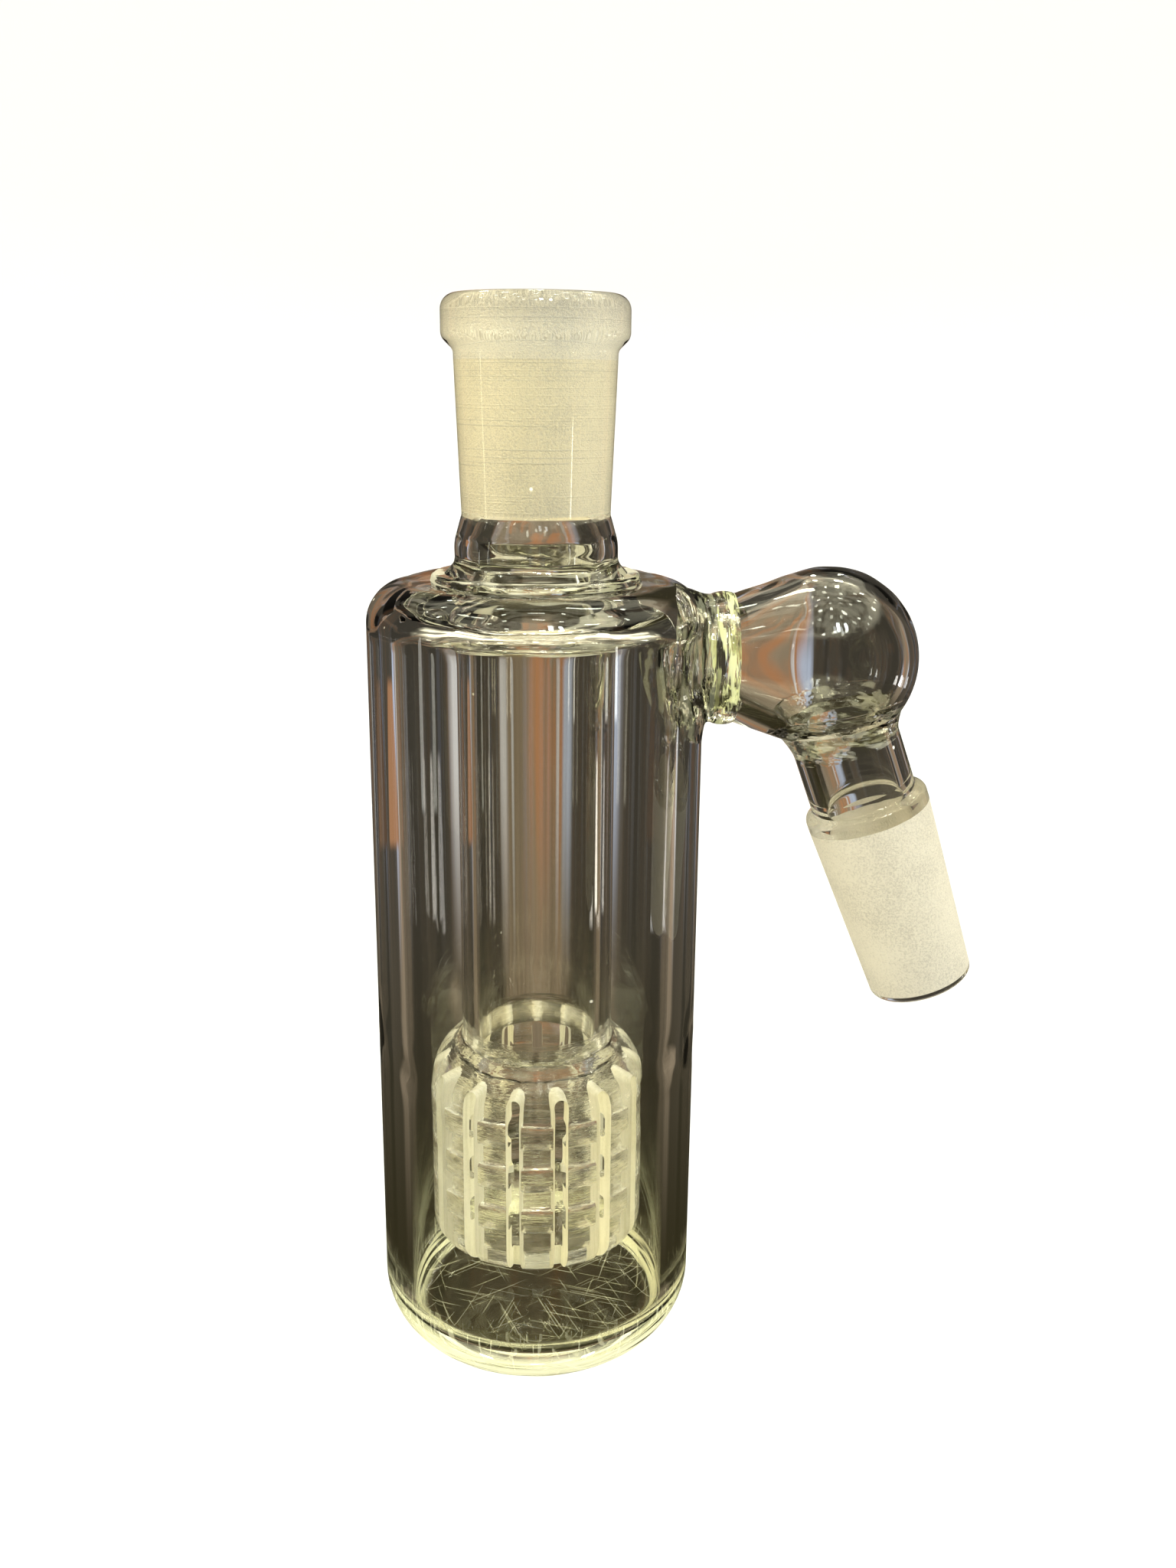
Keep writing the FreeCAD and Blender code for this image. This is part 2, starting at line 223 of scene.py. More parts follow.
def makeClearGlass():
    material, tree, shader, coords = startGlass("clear_borosilicate", "tint")
    drawn = grain(stretched(coords, 260, 260, 5), 1.0, 2.0)  # faint lines of the drawn tube
    swell = grain(coords, 55, 1.0)
    plugBump(tree, drawn * 0.6 + swell * 0.4, shader, glassLook["drawLines"], 0.0004)
    return overlay(material, tree, shader, specks(coords, 170.0, 0.2), glassLook["marks"])


def makePercGlass():
    # flame-polished after sawing; the milky marks on it are partly a thin milky layer and partly painted
    # sheen for light caught at grazing angles
    material, tree, shader, coords = startGlass("percolator_glass", "tint")
    lines = grain(stretched(coords, 240, 240, 2300), 1.0, 3.0, 0.65)
    plugBump(tree, lines * 0.7 + grain(coords, 420, 2.0) * 0.3, shader, 0.22, 0.0005)
    # painted sheen: milky marks along the fine lines and in specks
    milkAndSheen = lines.between(0.56, 0.60) + grain(coords, 700, 2.0).between(0.45, 0.7) * 0.2
    return overlay(material, tree, shader, milkAndSheen * glassLook["percMilkAndSheenShare"], glassLook["percMilkAndSheenTone"])


def makeFootGlass():
    # the floor of the can is scuffed by brushes, and the light that gathers in the thick heel is painted on
    # as a pale wavy band
    material, tree, shader, coords = startGlass("scuffed_foot_painted_heel_light", "footTint")
    plugBump(tree, grain(coords, 60, 1.0), shader, 0.05, 0.0006)
    x, y, z = coords.parts()
    scuffs = None
    for turn, low in ((0.35, 0.665), (-0.6, 0.69), (1.2, 0.68), (1.9, 0.70)):
        laid = coords.make("ShaderNodeMapping", Vector=coords, Rotation=(0, 0, turn))
        lines = grain(stretched(laid, 70, 2600, 200), 1.0, 1.0).between(low, low + 0.03)
        scuffs = lines if scuffs is None else scuffs + lines
    waves = grain(stretched(coords, 60, 60, 1100), 1.0, 2.0).between(0.40, 0.52)
    rim = (x * x + y * y).between(0.0145**2, 0.0170**2)
    # painted light: a pale band round the heel, fading out above it
    heelLightMask = rim * (1 - z.between(0.0035, 0.0075)) * waves * glassLook["footPaintedHeelLight"]
    return overlay(material, tree, shader, scuffs * glassLook["footScuffs"] + heelLightMask, glassLook["footScuffAndHeelLightTone"])


def makeWeldGlass(name, turned, paintedFoldLight, colour):
    # worked in the flame: wavy and a little yellow-green, with folds round the axis it turned on, and painted
    # highlights on the folds for the light caught in the thick glass
    material, tree, shader, coords = startGlass(name, "weldTint")
    patch = grain(coords, 240, 2.0).between(0.42, 0.6)
    plug(tree, patch.mixWith(glassLook["weldTint"], glassLook["tint"]), shader, "Base Color")
    folds = grain(stretched(coords, *turned), 1.0, 2.0, 0.55)
    plugBump(tree, folds + grain(coords, 900, 1.0) * 0.3, shader, glassLook["weldRipple"], 0.0008)
    # painted highlights: pale matt marks along the folds
    return overlay(material, tree, shader, folds.between(0.53, 0.60) * paintedFoldLight, colour)


groundLook = {
    "socket": ((0.89, 0.83, 0.62, 1), (0.70, 0.66, 0.51, 1)),
    "rim": ((0.88, 0.84, 0.69, 1), (0.68, 0.66, 0.57, 1)),
    "cone": ((0.66, 0.62, 0.49, 1), (0.47, 0.44, 0.35, 1)),
    "sawn": ((0.80, 0.78, 0.61, 1), (0.65, 0.63, 0.45, 1)),
    "seeThrough": 0.22,
    "sawnSeeThrough": 0.18,
    "grit": 0.6,
}


def makeGroundGlass(name, tones, lined):
    # abrasive-ground joints: matt, with fine rings left by the grinding wheel
    material, tree, shader, coords = startMaterial(name)
    shader.inputs["Transmission Weight"].default_value = groundLook["seeThrough"]
    shader.inputs["IOR"].default_value = glassLook["ior"]
    speckle = grain(coords, 4200, 3.0, 0.75).between(0.30, 0.70)
    cloud = grain(coords, 160, 3.0)
    # the wheel's rings lie close together in bands
    rings = grain(stretched(coords, 18, 18, 5200), 1.0, 1.0).between(0.55, 0.66)
    bands = grain(stretched(coords, 45, 45, 330), 1.0, 2.0).between(0.50, 0.62)
    mask = (speckle * 0.45 + cloud * 0.55 - rings * bands * lined).between(0.18, 0.66)
    plug(tree, mask.mixWith(tones[1], tones[0]), shader, "Base Color")
    plug(tree, speckle * 0.2 + 0.55, shader, "Roughness")
    plugBump(tree, speckle + rings * 0.5, shader, groundLook["grit"], 0.00008)
    return material


def makeSawnGlass():
    # faces left by the diamond saw: white, with fine lines along the cut
    material, tree, shader, coords = startMaterial("sawn_glass")
    shader.inputs["Transmission Weight"].default_value = groundLook["sawnSeeThrough"]
    shader.inputs["IOR"].default_value = glassLook["ior"]
    lines = grain(stretched(coords, 1800, 1800, 120), 1.0, 3.0)
    speckle = grain(coords, 4200, 2.0, 0.7)
    mask = (lines * 0.6 + speckle * 0.4).between(0.35, 0.6)
    light, dark = groundLook["sawn"]
    plug(tree, mask.mixWith(dark, light), shader, "Base Color")
    plug(tree, speckle * 0.25 + 0.45, shader, "Roughness")
    plugBump(tree, lines + speckle * 0.5, shader, 0.4, 0.00008)
    return material


def makeSeam():
    # where two pieces are fused there is no surface
    material = bpy.data.materials.new("fused_seam")
    material.use_nodes = True
    tree = material.node_tree
    tree.nodes.remove(tree.nodes["Principled BSDF"])
    clear = tree.nodes.new("ShaderNodeBsdfTransparent")
    tree.links.new(clear.outputs[0], tree.nodes["Material Output"].inputs[0])
    return material


# of each weld: how close its folds lie along X, Y and Z, how strong the painted highlights on the folds are,
# and their colour
weldLook = {
    "neck_weld_glass": ((130, 130, 1100), 0.42, (0.95, 0.93, 0.70, 1)),
    "arm_weld_glass": ((900, 190, 190), 0.14, (0.90, 0.92, 0.60, 1)),
    "collar_glass": ((1300, 190, 190), 0.60, (0.83, 0.86, 0.44, 1)),
    "link_weld_glass": ((260, 200, 900), 0.16, (0.93, 0.92, 0.70, 1)),
}

clearGlass = makeClearGlass()
neckWeldGlass, armWeldGlass, collarGlass, linkWeldGlass = [
    makeWeldGlass(name, *look) for name, look in weldLook.items()
]
groundSocket = makeGroundGlass("ground_socket_glass", groundLook["socket"], 0.5)
groundRim = makeGroundGlass("ground_rim_glass", groundLook["rim"], 0.2)
groundCone = makeGroundGlass("ground_cone_glass", groundLook["cone"], 0.0)
percGlass = makePercGlass()
sawnGlass = makeSawnGlass()
footGlass = makeFootGlass()
fusedSeam = makeSeam()
print("materials made")


def rounded(corners):
    # corners are (radius, height) or (radius, height, rounding, steps)
    line = []
    count = len(corners)
    for i, corner in enumerate(corners):
        here = Vector(corner[:2])
        if len(corner) < 3:
            line.append(here)
            continue
        before = (Vector(corners[i - 1][:2]) - here).normalized()
        after = (Vector(corners[(i + 1) % count][:2]) - here).normalized()
        half = before.angle(after) / 2
        reach = corner[2] / tan(half)
        start = here + before * reach
        end = here + after * reach
        centre = here + (before + after).normalized() * corner[2] / sin(half)
        sweep = (start - centre).angle_signed(end - centre)
        for step in range(corner[3] + 1):
            turn = Matrix.Rotation(-sweep * step / corner[3], 2)
            line.append(centre + turn @ (start - centre))
    return line


def divided(line, longest):
    # no run of the closed line is longer than this, so that the glass can take a waver
    out = []
    for i, here in enumerate(line):
        after = line[(i + 1) % len(line)]
        parts = max(1, int((after - here).length / longest + 0.999))
        out += [here.lerp(after, n / parts) for n in range(parts)]
    return out


def onSegment(p, a, b):
    run = b - a
    along = max(0.0, min(1.0, (p - a).dot(run) / run.length_squared))
    return (a + run * along - p).length < 0.004


def spinGlass(corners, kinds, longest):
    # kinds gives the corner pairs whose walls aren't plain glass: {(i, j): material index}
    bm = bmesh.new()
    line = divided(rounded(corners), longest)
    closed = [bm.verts.new((p.x, 0, p.y)) for p in line]
    edges = [bm.edges.new((closed[i - 1], closed[i])) for i in range(len(closed))]
    edges = [e for e in edges if max(abs(v.co.x) for v in e.verts) > 1e-5]
    bmesh.ops.spin(
        bm, geom=closed + edges, cent=(0, 0, 0), axis=(0, 0, 1), angle=2 * pi, steps=segments, use_merge=True
    )
    bmesh.ops.remove_doubles(bm, verts=bm.verts, dist=1e-4)
    bmesh.ops.delete(bm, geom=[v for v in bm.verts if not v.link_faces], context="VERTS")
    bmesh.ops.recalc_face_normals(bm, faces=bm.faces)
    runs = [(Vector(corners[a][:2]), Vector(corners[b][:2]), kind) for (a, b), kind in kinds.items()]
    for face in bm.faces:
        places = [Vector((hypot(v.co.x, v.co.y), v.co.z)) for v in face.verts]
        for a, b, kind in runs:
            if all(onSegment(p, a, b) for p in places):
                face.material_index = kind
    return bm


# every weld is worked by hand, so the glass wanders a little near it: (centre, reach, waver)
handWork = [
    (Vector((0, 0, 94)), 6.5, 0.13),
    (Vector((19, 0, armHeight)), 9.5, 0.15),
    (Vector((37, 0, armHeight - 10)), 5.5, 0.06),
    (Vector((0, 0, 39)), 4.5, 0.10),
    (Vector((0, 0, 1)), 5.0, 0.08),
]


noise.seed_set(5)  # otherwise the clock picks it, and each run gets another waver


def waver(p):
    push = noise.noise_vector(p * 0.03) * 0.03
    for centre, reach, size in handWork:
        far = (p - centre).length if centre.x else abs(p.z - centre.z)
        if far < reach:
            push += noise.noise_vector(p * 0.33 + centre) * size * (1 - (far / reach) ** 2) ** 2
    return push


def keepsTrue(p):
    # the ground joints stay true, and so does the foot
    if p.z > 103:
        return 0.0
    along = (p - linkStart).dot(tipAxis)
    if p.x > 30 and along > 17:
        return max(0.0, 1 - (along - 17) / 2)
    if p.z > 99:
        return (103 - p.z) / 4
    return min(1.0, max(0.0, p.z / 3))


def finish(name, bm, place, slots, replaced, hug=None):
    for v in bm.verts:
        p = place @ v.co
        if hug:
            p = hug(v.co, p)
        v.co = (p + waver(p) * keepsTrue(p)) * mm
    mesh = bpy.data.meshes.new(name)
    bm.to_mesh(mesh)
    bm.free()
    for material in slots:
        mesh.materials.append(material)
    piece = bpy.data.objects.new(name, mesh)
    bpy.context.collection.objects.link(piece)
    settle(piece)
    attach(piece, "root")
    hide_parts(*replaced)
    return piece


def settle(piece, sharp=48):
    piece.data.polygons.foreach_set("use_smooth", [True] * len(piece.data.polygons))
    piece.data.set_sharp_from_angle(angle=radians(sharp))


def carve(piece, tool, sharp=48):
    # cuts the tool's shape out and keeps the tool's own materials on the cut faces
    cutter = bpy.data.meshes.new("cutter")
    tool.to_mesh(cutter)
    tool.free()
    for material in piece.data.materials:
        cutter.materials.append(material)
    block = bpy.data.objects.new("cutter", cutter)
    bpy.context.collection.objects.link(block)
    saw = piece.modifiers.new("saw", "BOOLEAN")
    saw.operation = "DIFFERENCE"
    saw.solver = "EXACT"
    saw.object = block
    bpy.context.view_layer.update()
    made = piece.evaluated_get(bpy.context.evaluated_depsgraph_get())
    mesh = bpy.data.meshes.new_from_object(made)
    piece.modifiers.clear()
    old = piece.data
    piece.data = mesh
    mesh.name = old.name
    bpy.data.meshes.remove(old)
    bpy.data.objects.remove(block)
    settle(piece, sharp)


def drill(place, radius, depth):
    # a round cutter that leaves a fused seam
    hole = bmesh.new()
    bmesh.ops.create_cone(
        hole, cap_ends=True, segments=segments, radius1=radius, radius2=radius, depth=depth, matrix=place
    )
    for face in hole.faces:
        face.material_index = seam
    return hole


def tubeCorners(m, inside, outside):
    return [(inside, m["low"]), (outside, m["low"]), (outside, m["high"]), (inside, m["high"])]


# each piece's materials: its skin, its ground or sawn faces, and where it is fused to the next
plainSlots = [clearGlass, groundSocket, fusedSeam]
rimSlots = [clearGlass, groundRim, fusedSeam]
coneSlots = [clearGlass, groundCone, fusedSeam]
neckWeldSlots = [neckWeldGlass, groundSocket, fusedSeam]
armWeldSlots = [armWeldGlass, groundSocket, fusedSeam]
collarSlots = [collarGlass, groundSocket, fusedSeam]
linkWeldSlots = [linkWeldGlass, groundSocket, fusedSeam]
perforated = [percGlass, sawnGlass, fusedSeam]


rimDims = {"underside": 1.4, "crown": 1.7, "lip": 0.5, "coveRise": 0.9, "coveRound": 0.9, "sideRise": 2.2}


def makeRim():
    m = measure("socket_rim", canPlace)
    barrel = measure("ground_socket", canPlace)
    low, high, radius = m["low"], m["high"], m["radius"]
    neck = barrel["radius"]
    mouth = m["bore"] + (high - low) / 20
    corners = [
        (m["bore"], low),
        (neck, low),
        (neck + 0.02, low + rimDims["coveRise"], rimDims["coveRound"], 6),
        (radius, low + rimDims["sideRise"], rimDims["underside"], 8),
        (radius, high, rimDims["crown"], 12),
        (mouth, high, rimDims["lip"], 6),
    ]
    bm = spinGlass(corners, {(0, 1): seam, (5, 0): ground}, 0.6)
    return finish("rolledRim", bm, canPlace, rimSlots, ["socket_rim"])


barrelDims = {"taper": 0.63}  # how much slimmer the foot is than the top


def makeBarrel():
    m = measure("ground_socket", canPlace)
    rim = measure("socket_rim", canPlace)
    corners = [
        (m["bore"], m["low"]),
        (m["radius"] - barrelDims["taper"], m["low"]),
        (m["radius"], m["high"]),
        (rim["bore"], m["high"]),
    ]
    bm = spinGlass(corners, {(0, 1): seam, (2, 3): seam, (3, 0): ground}, 1.0)
    return finish("groundSocketBarrel", bm, canPlace, plainSlots, ["ground_socket"])


neckDims = {
    "foot": 1.15,
    "footRound": 1.5,
    "waist": 3.3,
    "waistRound": 5.0,
    "inside": 2.8,
    "insideRound": 2.0,
}


def makeNeck():
    m = measure("neck", canPlace)
    barrel = measure("ground_socket", canPlace)
    tube = measure("downtube", canPlace)
    top = barrel["radius"] - barrelDims["taper"]
    low, high = m["low"], m["high"]
    corners = [
        (tube["bore"], low),
        (m["radius"], low),
        (tube["radius"] + 0.05, low + neckDims["foot"], neckDims["footRound"], 8),
        (tube["radius"] + 0.12, low + neckDims["waist"], neckDims["waistRound"], 8),
        (top, high - 0.25),
        (top, high),
        (barrel["bore"], high),
        (tube["bore"], high - neckDims["inside"], neckDims["insideRound"], 6),
    ]
    bm = spinGlass(corners, {(0, 1): seam, (5, 6): seam}, 0.5)
    return finish("clearNeck", bm, canPlace, plainSlots, ["neck"])


sealDims = {
    "underRise": 1.4,
    "underRound": 0.9,
    "ceilingDrop": 1.1,
    "ceilingRound": 1.2,
    "crownRound": 0.5,
}


def makeNeckSeal():
    m = measure("neck_seal", canPlace)
    neck = measure("neck", canPlace)
    shoulder = measure("can_shoulder", canPlace)
    tube = measure("downtube", canPlace)
    ceiling = shoulder["high"] - canDims["top"]
    corners = [
        (tube["bore"], m["low"]),
        (tube["radius"], m["low"]),
        (tube["radius"] + 0.1, m["low"] + sealDims["underRise"], sealDims["underRound"], 5),
        (m["radius"] - 0.1, ceiling - sealDims["ceilingDrop"], sealDims["ceilingRound"], 8),
        (m["radius"], ceiling),
        (m["radius"], shoulder["high"]),
        (m["radius"] - 0.25, m["high"] - 0.05, sealDims["crownRound"], 5),
        (neck["radius"], m["high"]),
        (tube["bore"], m["high"]),
    ]
    bm = spinGlass(corners, {(0, 1): seam, (4, 5): seam, (7, 8): seam}, 0.4)
    return finish("neckRingSeal", bm, canPlace, neckWeldSlots, ["neck_seal"])


canDims = {
    "wall": 3.2,
    "top": 3.9,
    "shoulderRound": 4.6,
    "insideRound": 2.0,
    "heelRound": 8.0,
    "floor": 5.0,
    "floorRound": 2.8,
}
flareDims = {"foot": 8.9, "topFoot": 8.0, "lowFoot": 9.6, "bore": 4.7}


def flareFoot(up):
    # radius of the arm's foot on the can: wider below, where the weld sagged. up is 1 at the top
    middle, high, low = flareDims["foot"], flareDims["topFoot"], flareDims["lowFoot"]
    return middle + (high - middle) * max(0, up) ** 2 + (low - middle) * max(0, -up) ** 2


def canFace(y, z, radius, roundness, top):
    # how far out along +X the can's skin is at this height
    corner = top - roundness
    at = radius
    if z > corner:
        at = radius - roundness + sqrt(max(0.0, roundness**2 - (z - corner) ** 2))
    return sqrt(max(0.0, at**2 - y**2))


def makeShoulder():
    m = measure("can_shoulder", canPlace)
    seal = measure("neck_seal", canPlace)
    inside = m["radius"] - canDims["wall"]
    ceiling = m["high"] - canDims["top"]
    corners = [
        (inside, m["low"]),
        (m["radius"], m["low"]),
        (m["radius"], m["high"] - 0.1, canDims["shoulderRound"], 18),
        (seal["radius"], m["high"]),
        (seal["radius"], ceiling),
        (inside, ceiling, canDims["insideRound"], 10),
    ]
    bm = spinGlass(corners, {(0, 1): seam, (3, 4): seam}, 0.8)
    piece = finish("canShoulder", bm, canPlace, plainSlots, ["can_shoulder"])
    hole = drill(armPlace @ Matrix.Translation((0, 0, 18)), 1, 16)
    for v in hole.verts:
        middle = Vector((v.co.x, 0, armHeight))
        out = (v.co - middle).normalized()
        v.co = (middle + out * flareFoot(out.z)) * mm
    carve(piece, hole)
    return piece


def makeWall():
    m = measure("can_wall", canPlace)
    corners = tubeCorners(m, m["radius"] - canDims["wall"], m["radius"])
    bm = spinGlass(corners, {(0, 1): seam, (2, 3): seam}, 1.6)
    return finish("canWall", bm, canPlace, plainSlots, ["can_wall"])


def makeBase():
    m = measure("can_base", canPlace)
    inside = m["radius"] - canDims["wall"]
    floor = canDims["floor"]
    corners = [
        (0, 0),
        (m["radius"], 0, canDims["heelRound"], 24),
        (m["radius"], m["high"]),
        (inside, m["high"]),
        (inside, floor, canDims["floorRound"], 12),
        (0, floor),
    ]
    bm = spinGlass(corners, {(2, 3): seam}, 0.8)
    return finish("canBase", bm, canPlace, [footGlass, groundSocket, fusedSeam], ["can_base"])


def makeDowntube():
    m = measure("downtube", canPlace)
    bm = spinGlass(tubeCorners(m, m["bore"], m["radius"]), {(0, 1): seam, (2, 3): seam}, 1.6)
    return finish("downtubeGlass", bm, canPlace, plainSlots, ["downtube"])


percDims = {
    "wall": 2.5,
    "dome": 6.0,  # roundness outside and inside, then the heights of its lower and upper run
    "domeInside": 3.5,
    "domeLow": 2.8,
    "domeHigh": 2.48,
    "lipDrop": 1.3,
    "heel": 3.7,
    "floor": 2.6,
    "slot": 1.5,
    "slots": 15,
    "slotTop": 35.7,
    "cageRoot": 4.0,  # how far from the axis the saw starts
    "floorRoot": 9.6,
    "grooveWidth": 3.0,
    "grooveDepth": 1.5,
    "groovePitch": 5.4,
    "grooveFirst": 2.2,
    "grooves": 3,
}


def domeRadius(z, foot, radius, roundness):
    return radius - roundness + sqrt(max(0.0, roundness**2 - (z - foot) ** 2))


def domeLine(start, rise, parts, foot, radius, roundness):
    # the points between the two ends of a run of the dome
    heights = [start + rise * n / parts for n in range(1, parts)]
    return [(domeRadius(z, foot, radius, roundness), z) for z in heights]


def makePercolator():
    cage = measure("perc_cage", canPlace)
    dome = measure("perc_dome", canPlace)
    floor = measure("perc_floor", canPlace)
    tube = measure("downtube", canPlace)
    radius = cage["radius"]
    inner = radius - percDims["wall"]
    foot = cage["high"] - percDims["domeLow"]  # where the dome starts to turn in
    topOut = domeRadius(cage["high"], foot, radius, percDims["dome"])
    topIn = domeRadius(cage["high"], foot, inner, percDims["domeInside"])

    outer = domeLine(foot, percDims["domeLow"], 8, foot, radius, percDims["dome"])
    under = domeLine(foot, percDims["domeLow"], 8, foot, inner, percDims["domeInside"])[::-1]
    corners = [(inner, cage["low"]), (radius, cage["low"]), (radius, foot)] + outer
    corners += [(topOut, cage["high"]), (topIn, cage["high"])] + under + [(inner, foot)]
    last = 3 + len(outer)
    grooveFoot = cage["low"] + percDims["grooveFirst"]
    grooves = []
    for n in reversed(range(percDims["grooves"])):
        z = grooveFoot + percDims["groovePitch"] * n
        top = z + percDims["grooveWidth"]
        deep = inner + percDims["grooveDepth"]
        grooves += [(inner, top), (deep, top, 0.5, 4), (deep, z, 0.5, 4), (inner, z)]
    bm = spinGlass(corners + grooves, {(0, 1): seam, (last, last + 1): seam}, 0.8)
    wallPiece = finish("percolatorCage", bm, canPlace, perforated, ["perc_cage"])

    crown = domeLine(cage["high"], percDims["domeHigh"], 6, foot, radius, percDims["dome"])
    corners = [(topIn, cage["high"]), (topOut, cage["high"])] + crown + [
        (tube["radius"] + 0.12, dome["high"] - percDims["lipDrop"], 0.8, 6),
        (tube["radius"], dome["high"]),
        (tube["bore"], dome["high"]),
        (tube["bore"], cage["high"] + 0.69, 0.3, 4),
    ]
    top = 3 + len(crown)
    bm = spinGlass(corners, {(0, 1): seam, (top, top + 1): seam}, 0.5)
    finish("percolatorDome", bm, canPlace, perforated, ["perc_dome"])

    low, high = floor["low"], cage["low"]
    top = low + percDims["floor"]
    corners = [
        (0, low),
        (radius, low, percDims["heel"], 12),
        (radius, high),
        (inner, high),
        (inner, top, 0.6, 4),
        (0, top),
    ]
    bm = spinGlass(corners, {(2, 3): seam}, 0.8)
    floorPiece = finish("percolatorFloor", bm, canPlace, perforated, ["perc_floor"])
    for piece, root in ((wallPiece, percDims["cageRoot"]), (floorPiece, percDims["floorRoot"])):
        carve(piece, slotSaw(root, low - 2), 40)


def slotSaw(root, low):
    # fifteen blades round the axis, each with a round upper end
    saw = bmesh.new()
    high = percDims["slotTop"]
    half = percDims["slot"] / 2
    blade = [(-half, low), (half, low)]
    blade += [(half * cos(pi * n / 8), high + half * sin(pi * n / 8)) for n in range(9)]
    for n in range(percDims["slots"]):
        turn = Matrix.Rotation(2 * pi * n / percDims["slots"] + pi / 2, 4, "Z")
        ring = [saw.verts.new(turn @ Vector((root, x, z)) * mm) for x, z in blade]
        near = saw.faces.new(ring)
        out = bmesh.ops.extrude_face_region(saw, geom=[near])
        moved = [v for v in out["geom"] if isinstance(v, bmesh.types.BMVert)]
        bmesh.ops.translate(saw, verts=moved, vec=turn @ Vector((12 * mm, 0, 0)))
    bmesh.ops.recalc_face_normals(saw, faces=saw.faces)
    for face in saw.faces:
        face.material_index = ground
    return saw


armDims = {
    "wallReach": 3.2,
    "ring": 7.3,  # radius of the arm where the weld, the collar and the bulb meet
    "ceiling": 90.0,  # of the can's inside, and the height where the weld stops following it
    "ceilingStop": 89.2,
    "collarSwell": 0.28,
    "collarDip": 0.3,
    "bulb": 10.4,
    "bulbWall": 1.6,
    "cheek": 20.0,
}


def makeArmWeld():
    collar = measure("arm_collar", armPlace)
    can = measure("can_wall", canPlace)
    shoulder = measure("can_shoulder", canPlace)
    ring, bore = armDims["ring"], flareDims["bore"]
    end = collar["low"] - can["radius"]  # measured from the can's skin
    foot = flareDims["foot"]
    cove = [(ring + (foot - ring) * (1 - n / 10) ** 3.2, end * (n / 10) ** 1.1) for n in range(1, 10)]
    corners = [(bore, -armDims["wallReach"]), (foot, -armDims["wallReach"]), (foot, 0)] + cove
    corners += [(ring, end), (bore, end)]
    last = len(corners) - 2
    bm = spinGlass(corners, {(1, 2): seam, (last, last + 1): seam}, 0.35)

    def hug(local, p):
        # the foot follows the can's skin, and the end stays flat
        across = Vector((local.x, local.y))
        up = -local.x / max(1e-6, across.length)
        reach = (across.length - bore) / (foot - bore)
        wide = bore + reach * (flareFoot(up) - bore) if local.z <= 0 else across.length
        if local.z > 0:
            fade = max(0.0, 1 - local.z / end) ** 2
            wide = across.length + (flareFoot(up) - foot) * fade * (across.length - ring) / (foot - ring)
        y = local.y * wide / max(1e-6, across.length)
        z = armHeight - local.x * wide / max(1e-6, across.length)
        skin = canFace(y, z, can["radius"], canDims["shoulderRound"], shoulder["high"] - 0.1)
        inside = can["radius"] - canDims["wall"]
        inner = canFace(y, min(z, armDims["ceilingStop"]), inside, canDims["insideRound"], armDims["ceiling"])
        if local.z <= 0:
            depth = -local.z / armDims["wallReach"]
            return Vector((skin + (inner - skin) * depth, y, z))
        share = local.z / end
        flat = can["radius"] + local.z
        return Vector((skin + local.z * (1 - share) + (flat - skin - local.z * (1 - share)) * share, y, z))

    return finish("armWeld", bm, armPlace, armWeldSlots, ["arm_weld"], hug)


def makeCollar():
    m = measure("arm_collar", armPlace)
    ring = armDims["ring"]
    low, high = m["low"], m["high"]
    swell, dip = armDims["collarSwell"], armDims["collarDip"]
    bulge = [(ring + swell * sin(pi * n / 8) ** 0.8, low + (high - low) * n / 8) for n in range(1, 8)]
    inner = [(m["bore"] - dip * sin(pi * n / 6), high - (high - low) * n / 6) for n in range(1, 6)]
    corners = [(m["bore"], low), (ring, low)] + bulge + [(ring, high), (m["bore"], high)] + inner
    last = 2 + len(bulge)
    bm = spinGlass(corners, {(0, 1): seam, (last, last + 1): seam}, 0.35)
    return finish("armCollar", bm, armPlace, collarSlots, ["arm_collar"])


def bulbShape(centre, size, start, startRadius, steps):
    # a cheek that leaves the collar and runs smoothly on to the ball, as (radius, along)
    lean = radians(armDims["cheek"])
    first = centre - size * sin(lean)
    growth = size * cos(lean) - startRadius
    out = [(startRadius + growth * n / 6, start + (first - start) * n / 6) for n in range(6)]
    for n in range(steps + 1):
        turn = pi / 2 + lean - (pi / 2 + lean) * n / steps
        out.append((size * sin(turn), centre + size * cos(turn)))
    return out


def makeBulb():
    m = measure("bulb", armPlace)
    size = armDims["bulb"]
    centre = m["high"] - size
    collar = measure("arm_collar", armPlace)
    outside = bulbShape(centre, size, collar["high"], armDims["ring"], 40)
    inside = bulbShape(centre, size - armDims["bulbWall"], collar["high"], collar["bore"], 36)
    inside.reverse()
    corners = outside[:-1] + [(0, centre + size), (0, inside[0][1])] + inside[1:]
    last = len(corners) - 1
    bm = spinGlass(corners, {(last, 0): seam}, 0.9)
    piece = finish("blownBulb", bm, armPlace, plainSlots, ["bulb"])
    hole = drill(linkPlace @ Matrix.Translation((0, 0, 9)), linkDims["foot"], 12)
    bmesh.ops.scale(hole, vec=(mm, mm, mm), verts=hole.verts)
    carve(piece, hole)
    return piece


linkDims = {"foot": 7.2, "weldSpan": 2.0, "weldDepth": 1.6}


